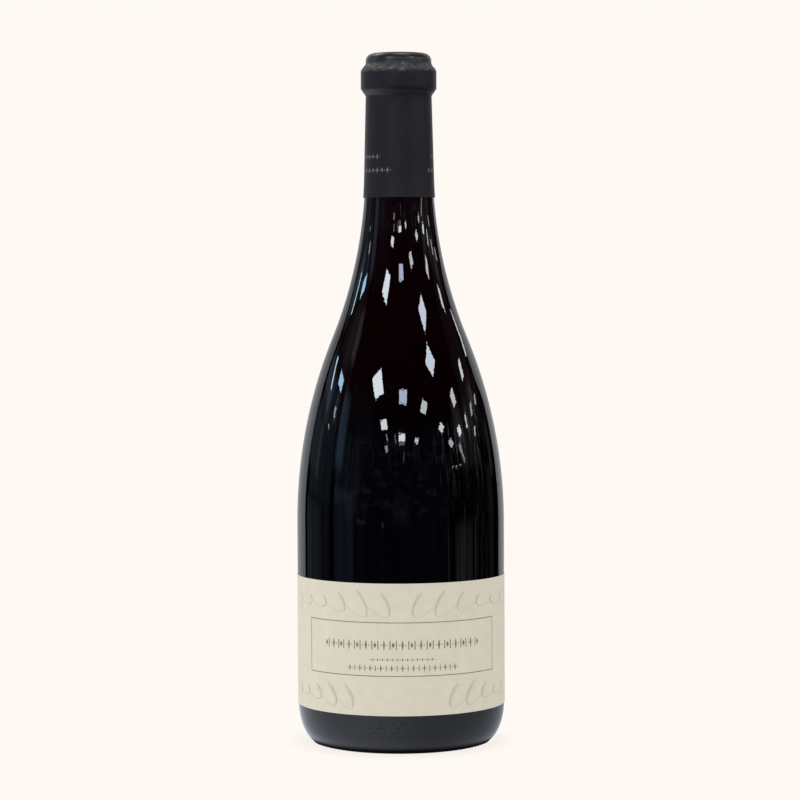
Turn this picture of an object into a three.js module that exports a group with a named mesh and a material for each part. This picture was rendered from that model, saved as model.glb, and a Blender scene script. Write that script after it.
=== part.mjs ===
// A sealed bottle of red wine in the burgundy shape: dark glass with long sloping shoulders and a
// punt, a capsule drawn over the mouth and the top of the neck, and a wide cream label on the body.
// Millimetres, +Z up, the front of the label faces -Y, the origin is on the axis at the base.
import * as THREE from "three";

// Driving dimensions of the whole bottle.
const TOTAL_HEIGHT = 295.9;
const BODY_RADIUS = 44.5;

// Base: a narrow ring that stands on the table, a heel outside it and a punt inside it. The heel is
// a little fuller than an ellipse, whose roundness would be 2.
const STANDING_RADIUS = 35;
const STANDING_WIDTH = 3.5;
const HEEL_HEIGHT = 19;
const HEEL_ROUNDNESS = 2.1;
const PUNT_LIP_RADIUS = 2.5;
const PUNT_DEPTH = 34;
const PUNT_ROUNDNESS = 1.7;

// Shoulder: one arc that bulges out of the body and one that sweeps up into the tapering neck.
const SHOULDER_START = 95;
const SHOULDER_ARC_RADIUS = 210;
const SHOULDER_SLOPE = THREE.MathUtils.degToRad(22.2);
const SWEEP_ARC_RADIUS = 195;
const NECK_TAPER = THREE.MathUtils.degToRad(1.5);

// Capsule: a sleeve with a closed top, and the air that it leaves round the glass.
const CAPSULE_WALL = 0.4;
const CAPSULE_GAP = 0.1;
const CAPSULE_LENGTH = 61.6;

// Finish, the shape of the mouth: a collar with sloping edges, and a narrower lip above it.
const COLLAR_RADIUS = 15.73;
const COLLAR_FOOT = TOTAL_HEIGHT - 18.5;
const COLLAR_LOW = TOTAL_HEIGHT - 15;
const COLLAR_HIGH = TOTAL_HEIGHT - 7.9;
const COLLAR_HEAD = TOTAL_HEIGHT - 4;
const LIP_RADIUS = 13.6;
const LIP_EDGE_RADIUS = 2.8;

// Label: paper that wraps round the front of the body, in whole facets of the glass.
const LABEL_BOTTOM = 17.3;
const LABEL_HEIGHT = 55.5;
const LABEL_THICKNESS = 0.15;
const LABEL_GAP = 0.05;
const LABEL_FACETS_EACH_SIDE = 18;

// Fineness: facets round the bottle, and points along each stretch of the outline.
const FACETS = 64;
const FACET_ANGLE = (2 * Math.PI) / FACETS;
const HEEL_STEPS = 8;
const PUNT_STEPS = 7;
const SHOULDER_STEPS = 8;
const SWEEP_STEPS = 8;
const COLLAR_STEPS = 4;
const LIP_STEPS = 3;

// Points of an elliptical arc in the outline's plane, radius along x and height along y.
function arc(centreX, centreY, radiusX, radiusY, from, to, steps) {
  return Array.from({ length: steps + 1 }, (_, i) => {
    const angle = THREE.MathUtils.lerp(from, to, i / steps);
    return new THREE.Vector2(
      centreX + radiusX * Math.cos(angle),
      centreY + radiusY * Math.sin(angle),
    );
  });
}

// Points of an S-shaped step between two radii, level at both ends.
function step(lowRadius, lowHeight, highRadius, highHeight, steps) {
  return Array.from({ length: steps + 1 }, (_, i) => {
    const share = i / steps;
    const eased = (1 - Math.cos(Math.PI * share)) / 2;
    return new THREE.Vector2(
      THREE.MathUtils.lerp(lowRadius, highRadius, eased),
      THREE.MathUtils.lerp(lowHeight, highHeight, share),
    );
  });
}

// The punt, from its tip on the axis down to the rounded inner edge of the standing ring.
function puntOutline() {
  const lipCentre = STANDING_RADIUS - STANDING_WIDTH;
  const mouth = lipCentre - PUNT_LIP_RADIUS;
  const cone = Array.from({ length: PUNT_STEPS }, (_, i) => {
    const radius = (mouth * i) / PUNT_STEPS;
    const fall = Math.pow(i / PUNT_STEPS, PUNT_ROUNDNESS);
    return new THREE.Vector2(
      radius,
      THREE.MathUtils.lerp(PUNT_DEPTH, PUNT_LIP_RADIUS, fall),
    );
  });
  const edge = arc(
    lipCentre,
    PUNT_LIP_RADIUS,
    PUNT_LIP_RADIUS,
    PUNT_LIP_RADIUS,
    Math.PI,
    1.5 * Math.PI,
    2,
  );
  return [...cone, ...edge];
}

// The heel, from the outer edge of the standing ring up to the body, a quarter of a superellipse.
function heelOutline() {
  return Array.from({ length: HEEL_STEPS + 1 }, (_, i) => {
    const angle = ((Math.PI / 2) * i) / HEEL_STEPS;
    const out = Math.pow(Math.sin(angle), 2 / HEEL_ROUNDNESS);
    const down = Math.pow(Math.cos(angle), 2 / HEEL_ROUNDNESS);
    return new THREE.Vector2(
      THREE.MathUtils.lerp(STANDING_RADIUS, BODY_RADIUS, out),
      THREE.MathUtils.lerp(HEEL_HEIGHT, 0, down),
    );
  });
}

// The outside from the standing ring over the heel, the body and the shoulder to the foot of the neck.
function bodyOutline() {
  const shoulder = arc(
    BODY_RADIUS - SHOULDER_ARC_RADIUS,
    SHOULDER_START,
    SHOULDER_ARC_RADIUS,
    SHOULDER_ARC_RADIUS,
    0,
    SHOULDER_SLOPE,
    SHOULDER_STEPS,
  );
  const turn = shoulder[SHOULDER_STEPS];
  const sweep = arc(
    turn.x + SWEEP_ARC_RADIUS * Math.cos(SHOULDER_SLOPE),
    turn.y + SWEEP_ARC_RADIUS * Math.sin(SHOULDER_SLOPE),
    SWEEP_ARC_RADIUS,
    SWEEP_ARC_RADIUS,
    Math.PI + SHOULDER_SLOPE,
    Math.PI + NECK_TAPER,
    SWEEP_STEPS,
  );
  return [...heelOutline(), ...shoulder, ...sweep.slice(1)];
}

// The radius of the glass on the straight, tapering part of the neck.
function neckRadius(height) {
  const foot = bodyOutline().at(-1);
  return foot.x - (height - foot.y) * Math.tan(NECK_TAPER);
}

// The collar, the lip and the top up to the axis, of the glass or of what stands off it by grow.
function finishOutline(grow) {
  const neck = neckRadius(COLLAR_FOOT) + grow;
  const collar = COLLAR_RADIUS + grow;
  const lip = LIP_RADIUS + grow;
  const glassTop = TOTAL_HEIGHT - CAPSULE_WALL - CAPSULE_GAP;
  const edge = LIP_EDGE_RADIUS + grow;
  return [
    ...step(neck, COLLAR_FOOT, collar, COLLAR_LOW, COLLAR_STEPS),
    ...step(collar, COLLAR_HIGH, lip, COLLAR_HEAD, COLLAR_STEPS),
    ...arc(
      lip - edge,
      glassTop + grow - edge,
      edge,
      edge,
      0,
      Math.PI / 2,
      LIP_STEPS,
    ),
    new THREE.Vector2(0, glassTop + grow),
  ];
}

// Turns an outline about the upright axis, with an edge between two facets at the front.
function turned(outline) {
  return new THREE.LatheGeometry(outline, FACETS).rotateX(Math.PI / 2);
}

// The capsule's skirt, which follows the glass by grow from its cut edge up to the foot of the neck.
function skirtOutline(grow) {
  const bottom = TOTAL_HEIGHT - CAPSULE_LENGTH;
  const above = bodyOutline().filter(
    (point) => point.y > bottom && point.x < BODY_RADIUS,
  );
  const below = bodyOutline()
    .filter((point) => point.y <= bottom)
    .at(-1);
  const share = (bottom - below.y) / (above[0].y - below.y);
  const edge = below.clone().lerp(above[0], share);
  return [edge, ...above].map(
    (point) => new THREE.Vector2(point.x + grow, point.y),
  );
}

function makeGlass() {
  const outline = [...puntOutline(), ...bodyOutline(), ...finishOutline(0)];
  const darkGlass = new THREE.MeshStandardMaterial({
    color: 0x060708,
    roughness: 0.06,
    metalness: 0,
  });
  const mesh = new THREE.Mesh(turned(outline), darkGlass);
  mesh.name = "bottle_glass";
  return mesh;
}

function makeCapsule() {
  const inner = CAPSULE_GAP;
  const outer = CAPSULE_GAP + CAPSULE_WALL;
  const outline = [
    ...[...skirtOutline(inner), ...finishOutline(inner)].reverse(),
    ...skirtOutline(outer),
    ...finishOutline(outer),
  ];
  const lacqueredTin = new THREE.MeshStandardMaterial({
    color: 0x26262a,
    roughness: 0.6,
    metalness: 0.1,
  });
  const mesh = new THREE.Mesh(turned(outline), lacqueredTin);
  mesh.name = "capsule";
  return mesh;
}

// The label's outline seen from above, a bent strip with its ends on facet edges of the glass.
function labelShape() {
  const innerRadius = BODY_RADIUS + LABEL_GAP;
  const corners = (radius, direction) =>
    Array.from({ length: 2 * LABEL_FACETS_EACH_SIDE + 1 }, (_, i) => {
      const angle = direction * (i - LABEL_FACETS_EACH_SIDE) * FACET_ANGLE;
      return new THREE.Vector2(
        radius * Math.sin(angle),
        -radius * Math.cos(angle),
      );
    });
  return new THREE.Shape([
    ...corners(innerRadius + LABEL_THICKNESS, 1),
    ...corners(innerRadius, -1),
  ]);
}

function makeLabel() {
  const geometry = new THREE.ExtrudeGeometry(labelShape(), {
    depth: LABEL_HEIGHT,
    bevelEnabled: false,
  });
  const creamPaper = new THREE.MeshStandardMaterial({
    color: 0xd8d3bf,
    roughness: 0.85,
    metalness: 0,
  });
  const mesh = new THREE.Mesh(geometry, creamPaper);
  mesh.name = "front_label";
  mesh.position.z = LABEL_BOTTOM;
  return mesh;
}

const bottle = new THREE.Group();
bottle.add(makeGlass(), makeCapsule(), makeLabel());

export default bottle;
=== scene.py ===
"""A sealed 750 ml bottle of red wine in the burgundy shape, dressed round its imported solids.

The glass, the capsule and the label are turned and bent much finer than the solids they stand for,
and carry their moulded marks, folds, print and wear. The classes hold sizes in millimetres, and the
scene is in metres, +Z up, with the middle of the label facing -Y.
"""

import logging
import math
from collections.abc import Callable, Iterable, Sequence
from dataclasses import dataclass, field
from enum import Enum

import bpy
from mathutils import Matrix, Vector


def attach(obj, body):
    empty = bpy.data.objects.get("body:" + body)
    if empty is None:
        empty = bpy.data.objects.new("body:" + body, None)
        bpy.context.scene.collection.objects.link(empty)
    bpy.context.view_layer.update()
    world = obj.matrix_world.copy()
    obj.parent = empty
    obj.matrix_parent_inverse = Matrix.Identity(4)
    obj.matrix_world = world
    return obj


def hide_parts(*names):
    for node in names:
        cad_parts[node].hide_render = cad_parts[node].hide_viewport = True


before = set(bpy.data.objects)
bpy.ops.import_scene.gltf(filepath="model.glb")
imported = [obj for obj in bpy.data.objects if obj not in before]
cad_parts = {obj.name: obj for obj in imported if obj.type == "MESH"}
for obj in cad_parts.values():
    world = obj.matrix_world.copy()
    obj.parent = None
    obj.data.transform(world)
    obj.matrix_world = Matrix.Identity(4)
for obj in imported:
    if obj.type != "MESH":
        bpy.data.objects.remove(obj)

LOG = logging.getLogger("wine_bottle")
MM = 0.001
BODY = "root"
MERGE_DISTANCE = 0.002 * MM
UPRIGHT_TURN = (math.pi / 2, 0.0, 0.0)
BLACK = (0.0, 0.0, 0.0)

Point = tuple[float, float]
Colour = tuple[float, float, float]
Feed = bpy.types.NodeSocket | float | Sequence[float]

# Where a stretch of values starts and ends, and what it gives at its start and at its end
Span = tuple[float, float, float, float]


class Slot(Enum):
    """The record's material slots."""

    GLASS = "dark_glass"
    FOIL = "capsule_foil"
    PAPER = "label_paper"


class Motif(Enum):
    """The small printed shapes that the ornament rows are made of."""

    SPINDLE = "spindle"
    LOZENGE = "lozenge"
    DOT = "dot"
    DASH = "dash"
    UPRIGHT = "upright"


# Outlines


def arc(centre: Point, radii: Point, start: float, end: float, steps: int) -> list[Point]:
    """Gives points of an elliptical arc, both ends included, between two angles in radians."""
    angles = [start + (end - start) * i / steps for i in range(steps + 1)]
    return [(centre[0] + radii[0] * math.cos(a), centre[1] + radii[1] * math.sin(a)) for a in angles]


def eased_step(low: Point, high: Point, steps: int) -> list[Point]:
    """Gives points of an S-shaped step between two radii, upright at both ends.

    Args:
        low: Lower end, as radius and height.
        high: Upper end, as radius and height.
        steps: Number of stretches between the points.

    Returns:
        The points, both ends included.
    """
    points = []
    for i in range(steps + 1):
        share = i / steps
        eased = (1 - math.cos(math.pi * share)) / 2
        points.append((low[0] + (high[0] - low[0]) * eased, low[1] + (high[1] - low[1]) * share))
    return points


def straight(start: Point, end: Point, steps: int) -> list[Point]:
    """Gives evenly spaced points between two points, without the two."""
    shares = [i / steps for i in range(1, steps)]
    return [(start[0] + (end[0] - start[0]) * s, start[1] + (end[1] - start[1]) * s) for s in shares]


@dataclass(frozen=True)
class BottleForm:
    """The driving dimensions of the glass, and the outlines that follow from them."""

    total_height: float = 295.9
    body_radius: float = 44.5
    standing_radius: float = 35.0
    standing_width: float = 3.5
    heel_height: float = 19.0
    heel_roundness: float = 2.1
    punt_lip_radius: float = 2.5
    punt_depth: float = 34.0
    punt_roundness: float = 1.7
    shoulder_start: float = 95.0
    shoulder_arc_radius: float = 210.0
    shoulder_slope: float = math.radians(22.2)
    sweep_arc_radius: float = 195.0
    neck_taper: float = math.radians(1.5)
    collar_radius: float = 15.73
    collar_foot: float = 277.4
    collar_low: float = 280.9
    collar_high: float = 288.0
    collar_head: float = 291.9
    lip_radius: float = 13.6
    lip_edge_radius: float = 2.8
    capsule_cover: float = 0.5
    punt_steps: int = 18
    punt_lip_steps: int = 6
    heel_steps: int = 26
    arc_steps: int = 26
    collar_rows: int = 5
    lip_steps: int = 9

    def punt(self) -> list[Point]:
        """Gives the hollow in the base, from its tip on the axis to the standing ring."""
        centre = self.standing_radius - self.standing_width
        mouth = centre - self.punt_lip_radius
        fall = self.punt_lip_radius - self.punt_depth
        cone = []
        for i in range(self.punt_steps):
            share = i / self.punt_steps
            cone.append((mouth * share, self.punt_depth + fall * share**self.punt_roundness))
        lip = arc(
            (centre, self.punt_lip_radius),
            (self.punt_lip_radius, self.punt_lip_radius),
            math.pi,
            1.5 * math.pi,
            self.punt_lip_steps,
        )
        return cone + lip

    def heel(self) -> list[Point]:
        """Gives the heel, a quarter of a superellipse from the standing ring up to the body."""
        power = 2 / self.heel_roundness
        points = []
        for i in range(self.heel_steps + 1):
            angle = math.pi / 2 * i / self.heel_steps
            out = math.sin(angle) ** power
            down = math.cos(angle) ** power if i < self.heel_steps else 0.0
            radius = self.standing_radius + (self.body_radius - self.standing_radius) * out
            points.append((radius, self.heel_height * (1 - down)))
        return points

    def shoulder(self) -> list[Point]:
        """Gives the shoulder's two arcs, up to the foot of the straight neck."""
        bulge = arc(
            (self.body_radius - self.shoulder_arc_radius, self.shoulder_start),
            (self.shoulder_arc_radius, self.shoulder_arc_radius),
            0.0,
            self.shoulder_slope,
            self.arc_steps,
        )
        turn = bulge[-1]
        sweep_centre = (
            turn[0] + self.sweep_arc_radius * math.cos(self.shoulder_slope),
            turn[1] + self.sweep_arc_radius * math.sin(self.shoulder_slope),
        )
        sweep = arc(
            sweep_centre,
            (self.sweep_arc_radius, self.sweep_arc_radius),
            math.pi + self.shoulder_slope,
            math.pi + self.neck_taper,
            self.arc_steps,
        )
        return bulge + sweep[1:]

    def neck_radius(self, height: float) -> float:
        """Gives the glass's radius on the tapering neck, at a height in millimetres."""
        foot = self.shoulder()[-1]
        return foot[0] - (height - foot[1]) * math.tan(self.neck_taper)

    def radius_at(self, height: float) -> float:
        """Gives the glass's outer radius between the heel and the collar.

        Args:
            height: Height above the base, in millimetres.

        Returns:
            The radius there, in millimetres.
        """
        points = self.heel() + self.shoulder()
        if height >= points[-1][1]:
            return self.neck_radius(height)
        for below, above in zip(points, points[1:]):
            if below[1] <= height <= above[1] and above[1] > below[1]:
                share = (height - below[1]) / (above[1] - below[1])
                return below[0] + (above[0] - below[0]) * share
        return self.standing_radius

    def finish(self, grow: float, rows: int) -> list[Point]:
        """Gives the collar, the lip and the lip's rounded edge.

        Args:
            grow: How far the outline stands off the glass.
            rows: Stretches along each step of the collar.

        Returns:
            The points, from the neck's top to the flat top.
        """
        neck = self.neck_radius(self.collar_foot) + grow
        collar = self.collar_radius + grow
        lip = self.lip_radius + grow
        top = self.total_height - self.capsule_cover + grow
        edge = self.lip_edge_radius + grow
        lower = eased_step((neck, self.collar_foot), (collar, self.collar_low), rows)
        upper = eased_step((collar, self.collar_high), (lip, self.collar_head), rows)
        rounded = arc((lip - edge, top - edge), (edge, edge), 0.0, math.pi / 2, self.lip_steps)
        return lower + straight(lower[-1], upper[0], self.collar_rows) + upper + rounded


# Modelling bench


def object_mode() -> None:
    """Leaves edit mode and deselects everything."""
    if bpy.context.mode != "OBJECT":
        bpy.ops.object.mode_set(mode="OBJECT")
    bpy.ops.object.select_all(action="DESELECT")


def edit_all() -> None:
    """Enters edit mode on the active object with all of it selected."""
    bpy.ops.object.mode_set(mode="EDIT")
    bpy.ops.mesh.select_all(action="SELECT")


def pick(*pieces: bpy.types.Object) -> None:
    """Selects these pieces alone, the first of them active.

    Args:
        pieces: The objects to select.
    """
    object_mode()
    for piece in pieces:
        piece.select_set(True)
    bpy.context.view_layer.objects.active = pieces[0]


def name_active(name: str) -> bpy.types.Object:
    """Names the active object and its data, which an empty doesn't have.

    Args:
        name: The piece's name.

    Returns:
        The object.
    """
    piece = bpy.context.active_object
    piece.name = name
    if piece.data is not None:
        piece.data.name = name
    return piece


def trace(name: str, outline: Sequence[Point]) -> bpy.types.Object:
    """Draws an outline in the XZ plane, one extruded vertex after another.

    Args:
        name: The piece's name.
        outline: Radius and height of each point, in millimetres.

    Returns:
        The object, in edit mode with all of it selected.
    """
    object_mode()
    bpy.ops.mesh.primitive_plane_add(size=MM, location=(0.0, 0.0, 0.0))
    piece = name_active(name)
    edit_all()
    bpy.ops.mesh.merge(type="CENTER")
    bpy.ops.transform.translate(value=(outline[0][0] * MM, 0.0, outline[0][1] * MM))
    for here, there in zip(outline, outline[1:]):
        move = ((there[0] - here[0]) * MM, 0.0, (there[1] - here[1]) * MM)
        bpy.ops.mesh.extrude_region_move(TRANSFORM_OT_translate={"value": move})
    bpy.ops.mesh.select_all(action="SELECT")
    return piece


def close_up() -> None:
    """Merges doubled points of the piece in edit mode and turns its faces outward."""
    bpy.ops.mesh.select_all(action="SELECT")
    bpy.ops.mesh.remove_doubles(threshold=MERGE_DISTANCE)
    bpy.ops.mesh.dissolve_degenerate(threshold=MERGE_DISTANCE)
    bpy.ops.mesh.normals_make_consistent(inside=False)


def turn(name: str, outline: Sequence[Point], facets: int) -> bpy.types.Object:
    """Turns an outline about the upright axis into a smooth skin.

    Args:
        name: The piece's name.
        outline: Radius and height of each point, in millimetres.
        facets: Number of facets round the axis.

    Returns:
        The turned object, in object mode.
    """
    piece = trace(name, outline)
    bpy.ops.mesh.spin(steps=facets, angle=math.tau, center=(0, 0, 0), axis=(0, 0, 1))
    close_up()
    object_mode()
    return piece


def select_points(piece: bpy.types.Object, wanted: Callable[[Vector], bool]) -> None:
    """Enters edit mode with only the wanted points selected.

    Args:
        piece: The object to edit.
        wanted: Says of a point, in metres, whether it is selected.
    """
    pick(piece)
    bpy.ops.object.mode_set(mode="EDIT")
    bpy.ops.mesh.select_mode(type="VERT")
    bpy.ops.mesh.select_all(action="DESELECT")
    bpy.ops.object.mode_set(mode="OBJECT")
    for vertex in piece.data.vertices:
        vertex.select = wanted(vertex.co)
    bpy.ops.object.mode_set(mode="EDIT")


def modify(piece: bpy.types.Object, kind: str, **settings: object) -> None:
    """Adds a modifier to a piece, sets it and applies it.

    Args:
        piece: The object to change.
        kind: The modifier's type.
        settings: Its properties by name.
    """
    pick(piece)
    bpy.ops.object.modifier_add(type=kind)
    modifier = piece.modifiers[-1]
    for key, value in settings.items():
        setattr(modifier, key, value)
    bpy.ops.object.modifier_apply(modifier=modifier.name)


def apply_place(piece: bpy.types.Object) -> None:
    """Puts a piece's place, turn and scale into its mesh."""
    pick(piece)
    bpy.ops.object.transform_apply(location=True, rotation=True, scale=True)


def join(name: str, pieces: Sequence[bpy.types.Object]) -> bpy.types.Object:
    """Joins pieces into one.

    Args:
        name: Name of the joined piece.
        pieces: The objects to join.

    Returns:
        The joined object.
    """
    pick(*pieces)
    if len(pieces) > 1:
        bpy.ops.object.join()
    return name_active(name)


def scatter(name: str, model: bpy.types.Object, places: Iterable[Matrix]) -> bpy.types.Object:
    """Copies a small piece to each place, joins the copies and drops the model.

    Args:
        name: Name of the joined piece.
        model: The object that is copied, at the origin.
        places: Where each copy goes.

    Returns:
        The joined object, its places in its mesh.
    """
    copies = []
    for place in places:
        pick(model)
        bpy.ops.object.duplicate()
        copy = bpy.context.active_object
        copy.matrix_world = place
        copies.append(copy)
    bpy.data.objects.remove(model, do_unlink=True)
    joined = join(name, copies)
    apply_place(joined)
    return joined


def bend_round(piece: bpy.types.Object, radius: float) -> None:
    """Bends a flat piece, drawn in the XZ plane, round the upright axis with its middle at the front.

    Args:
        piece: The flat object.
        radius: Radius of the bend, in millimetres.
    """
    reach = [vertex.co.x for vertex in piece.data.vertices]
    extent = max(reach) - min(reach)
    modify(
        piece,
        "SIMPLE_DEFORM",
        deform_method="BEND",
        deform_axis="Z",
        angle=extent / (radius * MM),
    )
    piece.location = (0.0, -radius * MM, 0.0)
    apply_place(piece)


def shade(piece: bpy.types.Object, degrees: float) -> None:
    """Shades a piece smooth, apart from edges sharper than an angle in degrees."""
    pick(piece)
    bpy.ops.object.shade_smooth_by_angle(angle=math.radians(degrees))


# Finishes


@dataclass
class NodeSheet:
    """Adds and links the nodes of one shader tree."""

    tree: bpy.types.NodeTree

    def add(
        self,
        kind: str,
        feeds: dict[str | int, Feed] | None = None,
        **settings: object,
    ) -> bpy.types.Node:
        """Adds a node.

        Args:
            kind: The node's type.
            feeds: What goes into each input, a socket to link or a value to set.
            settings: The node's properties by name.

        Returns:
            The node.
        """
        node = self.tree.nodes.new(kind)
        for key, value in settings.items():
            setattr(node, key, value)
        for key, feed in (feeds or {}).items():
            if isinstance(feed, bpy.types.NodeSocket):
                self.tree.links.new(feed, node.inputs[key])
            else:
                node.inputs[key].default_value = feed
        return node

    def math(self, operation: str, *feeds: Feed) -> bpy.types.NodeSocket:
        """Adds a Math node for an operation on numbers or sockets and gives its result."""
        return self.add("ShaderNodeMath", dict(enumerate(feeds)), operation=operation).outputs[0]

    def times(self, *factors: Feed) -> bpy.types.NodeSocket:
        """Multiplies two or more numbers.

        Args:
            factors: The numbers or sockets.

        Returns:
            The product's socket.
        """
        product = factors[0]
        for factor in factors[1:]:
            product = self.math("MULTIPLY", product, factor)
        return product

    def vector(self, operation: str, *feeds: Feed) -> bpy.types.NodeSocket:
        """Adds a Vector Math node for an operation on vectors or sockets and gives its result."""
        feeds_by_place = dict(enumerate(feeds))
        return self.add("ShaderNodeVectorMath", feeds_by_place, operation=operation).outputs[0]

    def height_of(self, where: Feed) -> bpy.types.NodeSocket:
        """Gives how far up coordinates lie."""
        return self.add("ShaderNodeSeparateXYZ", {0: where}).outputs[2]

    def span(
        self,
        value: Feed,
        low: Feed,
        high: Feed,
        bottom: float = 0.0,
        top: float = 1.0,
    ) -> bpy.types.NodeSocket:
        """Maps a stretch of values smoothly to another.

        Args:
            value: The value to map.
            low: Where the stretch starts.
            high: Where it ends.
            bottom: Result at its start.
            top: Result at its end.

        Returns:
            The mapped value's socket.
        """
        feeds = {0: value, 1: low, 2: high, 3: bottom, 4: top}
        return self.add("ShaderNodeMapRange", feeds, interpolation_type="SMOOTHSTEP").outputs[0]

    def mix(self, share: Feed, first: Feed, second: Feed) -> bpy.types.NodeSocket:
        """Mixes two colours.

        Args:
            share: Share of the second colour.
            first: The first colour, a socket or plain red, green and blue.
            second: The second colour.

        Returns:
            The mixed colour's socket.
        """
        feeds = {0: share}
        for place, colour in ((6, first), (7, second)):
            feeds[place] = colour if isinstance(colour, bpy.types.NodeSocket) else (*colour, 1.0)
        return self.add("ShaderNodeMix", feeds, data_type="RGBA").outputs[2]

    def noise(
        self,
        where: Feed,
        scale: Feed,
        detail: float,
        roughness: float,
        stretch: Sequence[float] | None = None,
    ) -> bpy.types.NodeSocket:
        """Adds a noise and gives its value.

        Args:
            where: Coordinates that it is read at.
            scale: Number of its waves to a metre.
            detail: Number of finer layers.
            roughness: Strength of each finer layer.
            stretch: Factor along each axis that the coordinates take first.

        Returns:
            The noise's socket, from 0 to 1.
        """
        if stretch is not None:
            where = self.add("ShaderNodeMapping", {"Vector": where, "Scale": stretch}).outputs[0]
        feeds = {"Vector": where, "Scale": scale, "Detail": detail, "Roughness": roughness}
        return self.add("ShaderNodeTexNoise", feeds).outputs[0]


@dataclass
class SharedEffects:
    """Builds each shared shader effect once, as a node group with named inputs and outputs."""

    made: dict[str, bpy.types.NodeTree] = field(default_factory=dict)

    def group(
        self,
        name: str,
        inputs: dict[str, float],
        outputs: Sequence[str],
    ) -> tuple[NodeSheet, bpy.types.Node, bpy.types.Node]:
        """Starts a group with a vector input named Where and more inputs and outputs of one number each.

        Args:
            name: The group's name.
            inputs: Default of each further input.
            outputs: Names of the outputs.

        Returns:
            The group's sheet, its input node and its output node.
        """
        tree = bpy.data.node_groups.new(name, "ShaderNodeTree")
        tree.interface.new_socket(name="Where", in_out="INPUT", socket_type="NodeSocketVector")
        for key, default in inputs.items():
            socket = tree.interface.new_socket(name=key, in_out="INPUT", socket_type="NodeSocketFloat")
            socket.default_value = default
        for key in outputs:
            tree.interface.new_socket(name=key, in_out="OUTPUT", socket_type="NodeSocketFloat")
        self.made[name] = tree
        sheet = NodeSheet(tree)
        return sheet, sheet.add("NodeGroupInput"), sheet.add("NodeGroupOutput")

    def grain(self) -> bpy.types.NodeTree:
        """Gives a fine even grain with a slow mottle, for glass, lacquer, paper and ink."""
        if "fine_grain" in self.made:
            return self.made["fine_grain"]
        defaults = {"Fineness": 2500.0, "Patch size": 90.0, "Patchiness": 0.5}
        sheet, source, sink = self.group("fine_grain", defaults, ("Grain", "Mottle"))
        where = source.outputs["Where"]
        fine = sheet.noise(where, source.outputs["Fineness"], 4.0, 0.6)
        slow = sheet.noise(where, source.outputs["Patch size"], 3.0, 0.55)
        middle = 0.5
        centred = sheet.math("SUBTRACT", slow, middle)
        mottle = sheet.math("MULTIPLY_ADD", centred, source.outputs["Patchiness"], middle)
        sheet.tree.links.new(fine, sink.inputs["Grain"])
        sheet.tree.links.new(mottle, sink.inputs["Mottle"])
        return sheet.tree

    def wear(self) -> bpy.types.NodeTree:
        """Gives rubbed patches between two heights, for the lacquer's folds and the glass's heel."""
        if "rubbed_wear" in self.made:
            return self.made["rubbed_wear"]
        defaults = {"Lowest": 0.0, "Highest": 1.0, "Softness": 0.002, "Patch size": 300.0, "Amount": 0.5}
        sheet, source, sink = self.group("rubbed_wear", defaults, ("Mask",))
        where = source.outputs["Where"]
        height = sheet.height_of(where)
        above = sheet.math("SUBTRACT", height, source.outputs["Lowest"])
        below = sheet.math("SUBTRACT", source.outputs["Highest"], height)
        inside = sheet.span(sheet.math("MINIMUM", above, below), 0.0, source.outputs["Softness"])
        patches = sheet.noise(where, source.outputs["Patch size"], 5.0, 0.62, stretch=(1.0, 1.0, 1.8))
        scarcest, reach, contrast = 0.78, 0.45, 7.0
        threshold = sheet.math("SUBTRACT", scarcest, sheet.times(source.outputs["Amount"], reach))
        over = sheet.math("SUBTRACT", patches, threshold)
        rubbed = sheet.add("ShaderNodeClamp", {0: sheet.times(over, contrast)}).outputs[0]
        sheet.tree.links.new(sheet.times(rubbed, inside), sink.inputs["Mask"])
        return sheet.tree


EFFECTS = SharedEffects()


@dataclass
class MaterialSheet(NodeSheet):
    """A material's nodes round its Principled shader."""

    material: bpy.types.Material
    shader: bpy.types.Node
    where: bpy.types.NodeSocket

    @classmethod
    def start(cls, name: str, **sockets: float) -> "MaterialSheet":
        """Makes a material with a Principled shader.

        Args:
            name: The material's name.
            sockets: Uniform values of the shader, with underscores for spaces.

        Returns:
            The material's sheet.
        """
        material = bpy.data.materials.new(name)
        material.use_nodes = True
        tree = material.node_tree
        shader = next(node for node in tree.nodes if node.type == "BSDF_PRINCIPLED")
        for key, value in sockets.items():
            shader.inputs[key.replace("_", " ")].default_value = value
        where = tree.nodes.new("ShaderNodeTexCoord").outputs["Object"]
        return cls(tree, material, shader, where)

    def use(self, group: bpy.types.NodeTree, **values: float) -> bpy.types.Node:
        """Places a shared effect in the material.

        Args:
            group: The effect's node group.
            values: Its inputs, with underscores for spaces.

        Returns:
            The group's node.
        """
        node = self.add("ShaderNodeGroup", node_tree=group)
        self.tree.links.new(self.where, node.inputs["Where"])
        for key, value in values.items():
            node.inputs[key.replace("_", " ")].default_value = value
        return node

    def feed(self, socket: str, value: bpy.types.NodeSocket) -> None:
        """Links a value to one of the shader's sockets."""
        self.tree.links.new(value, self.shader.inputs[socket])

    def bump(
        self,
        height: Feed,
        distance: float,
        strength: float = 1.0,
        under: Feed | None = None,
    ) -> bpy.types.NodeSocket:
        """Adds a bump and gives its normal.

        Args:
            height: The height that it follows.
            distance: Height of a full step, in millimetres.
            strength: Share of it that shows.
            under: Normal of the layer below.

        Returns:
            The normal's socket.
        """
        feeds = {"Height": height, "Distance": distance * MM, "Strength": strength}
        if under is not None:
            feeds["Normal"] = under
        return self.add("ShaderNodeBump", feeds).outputs[0]


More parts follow.
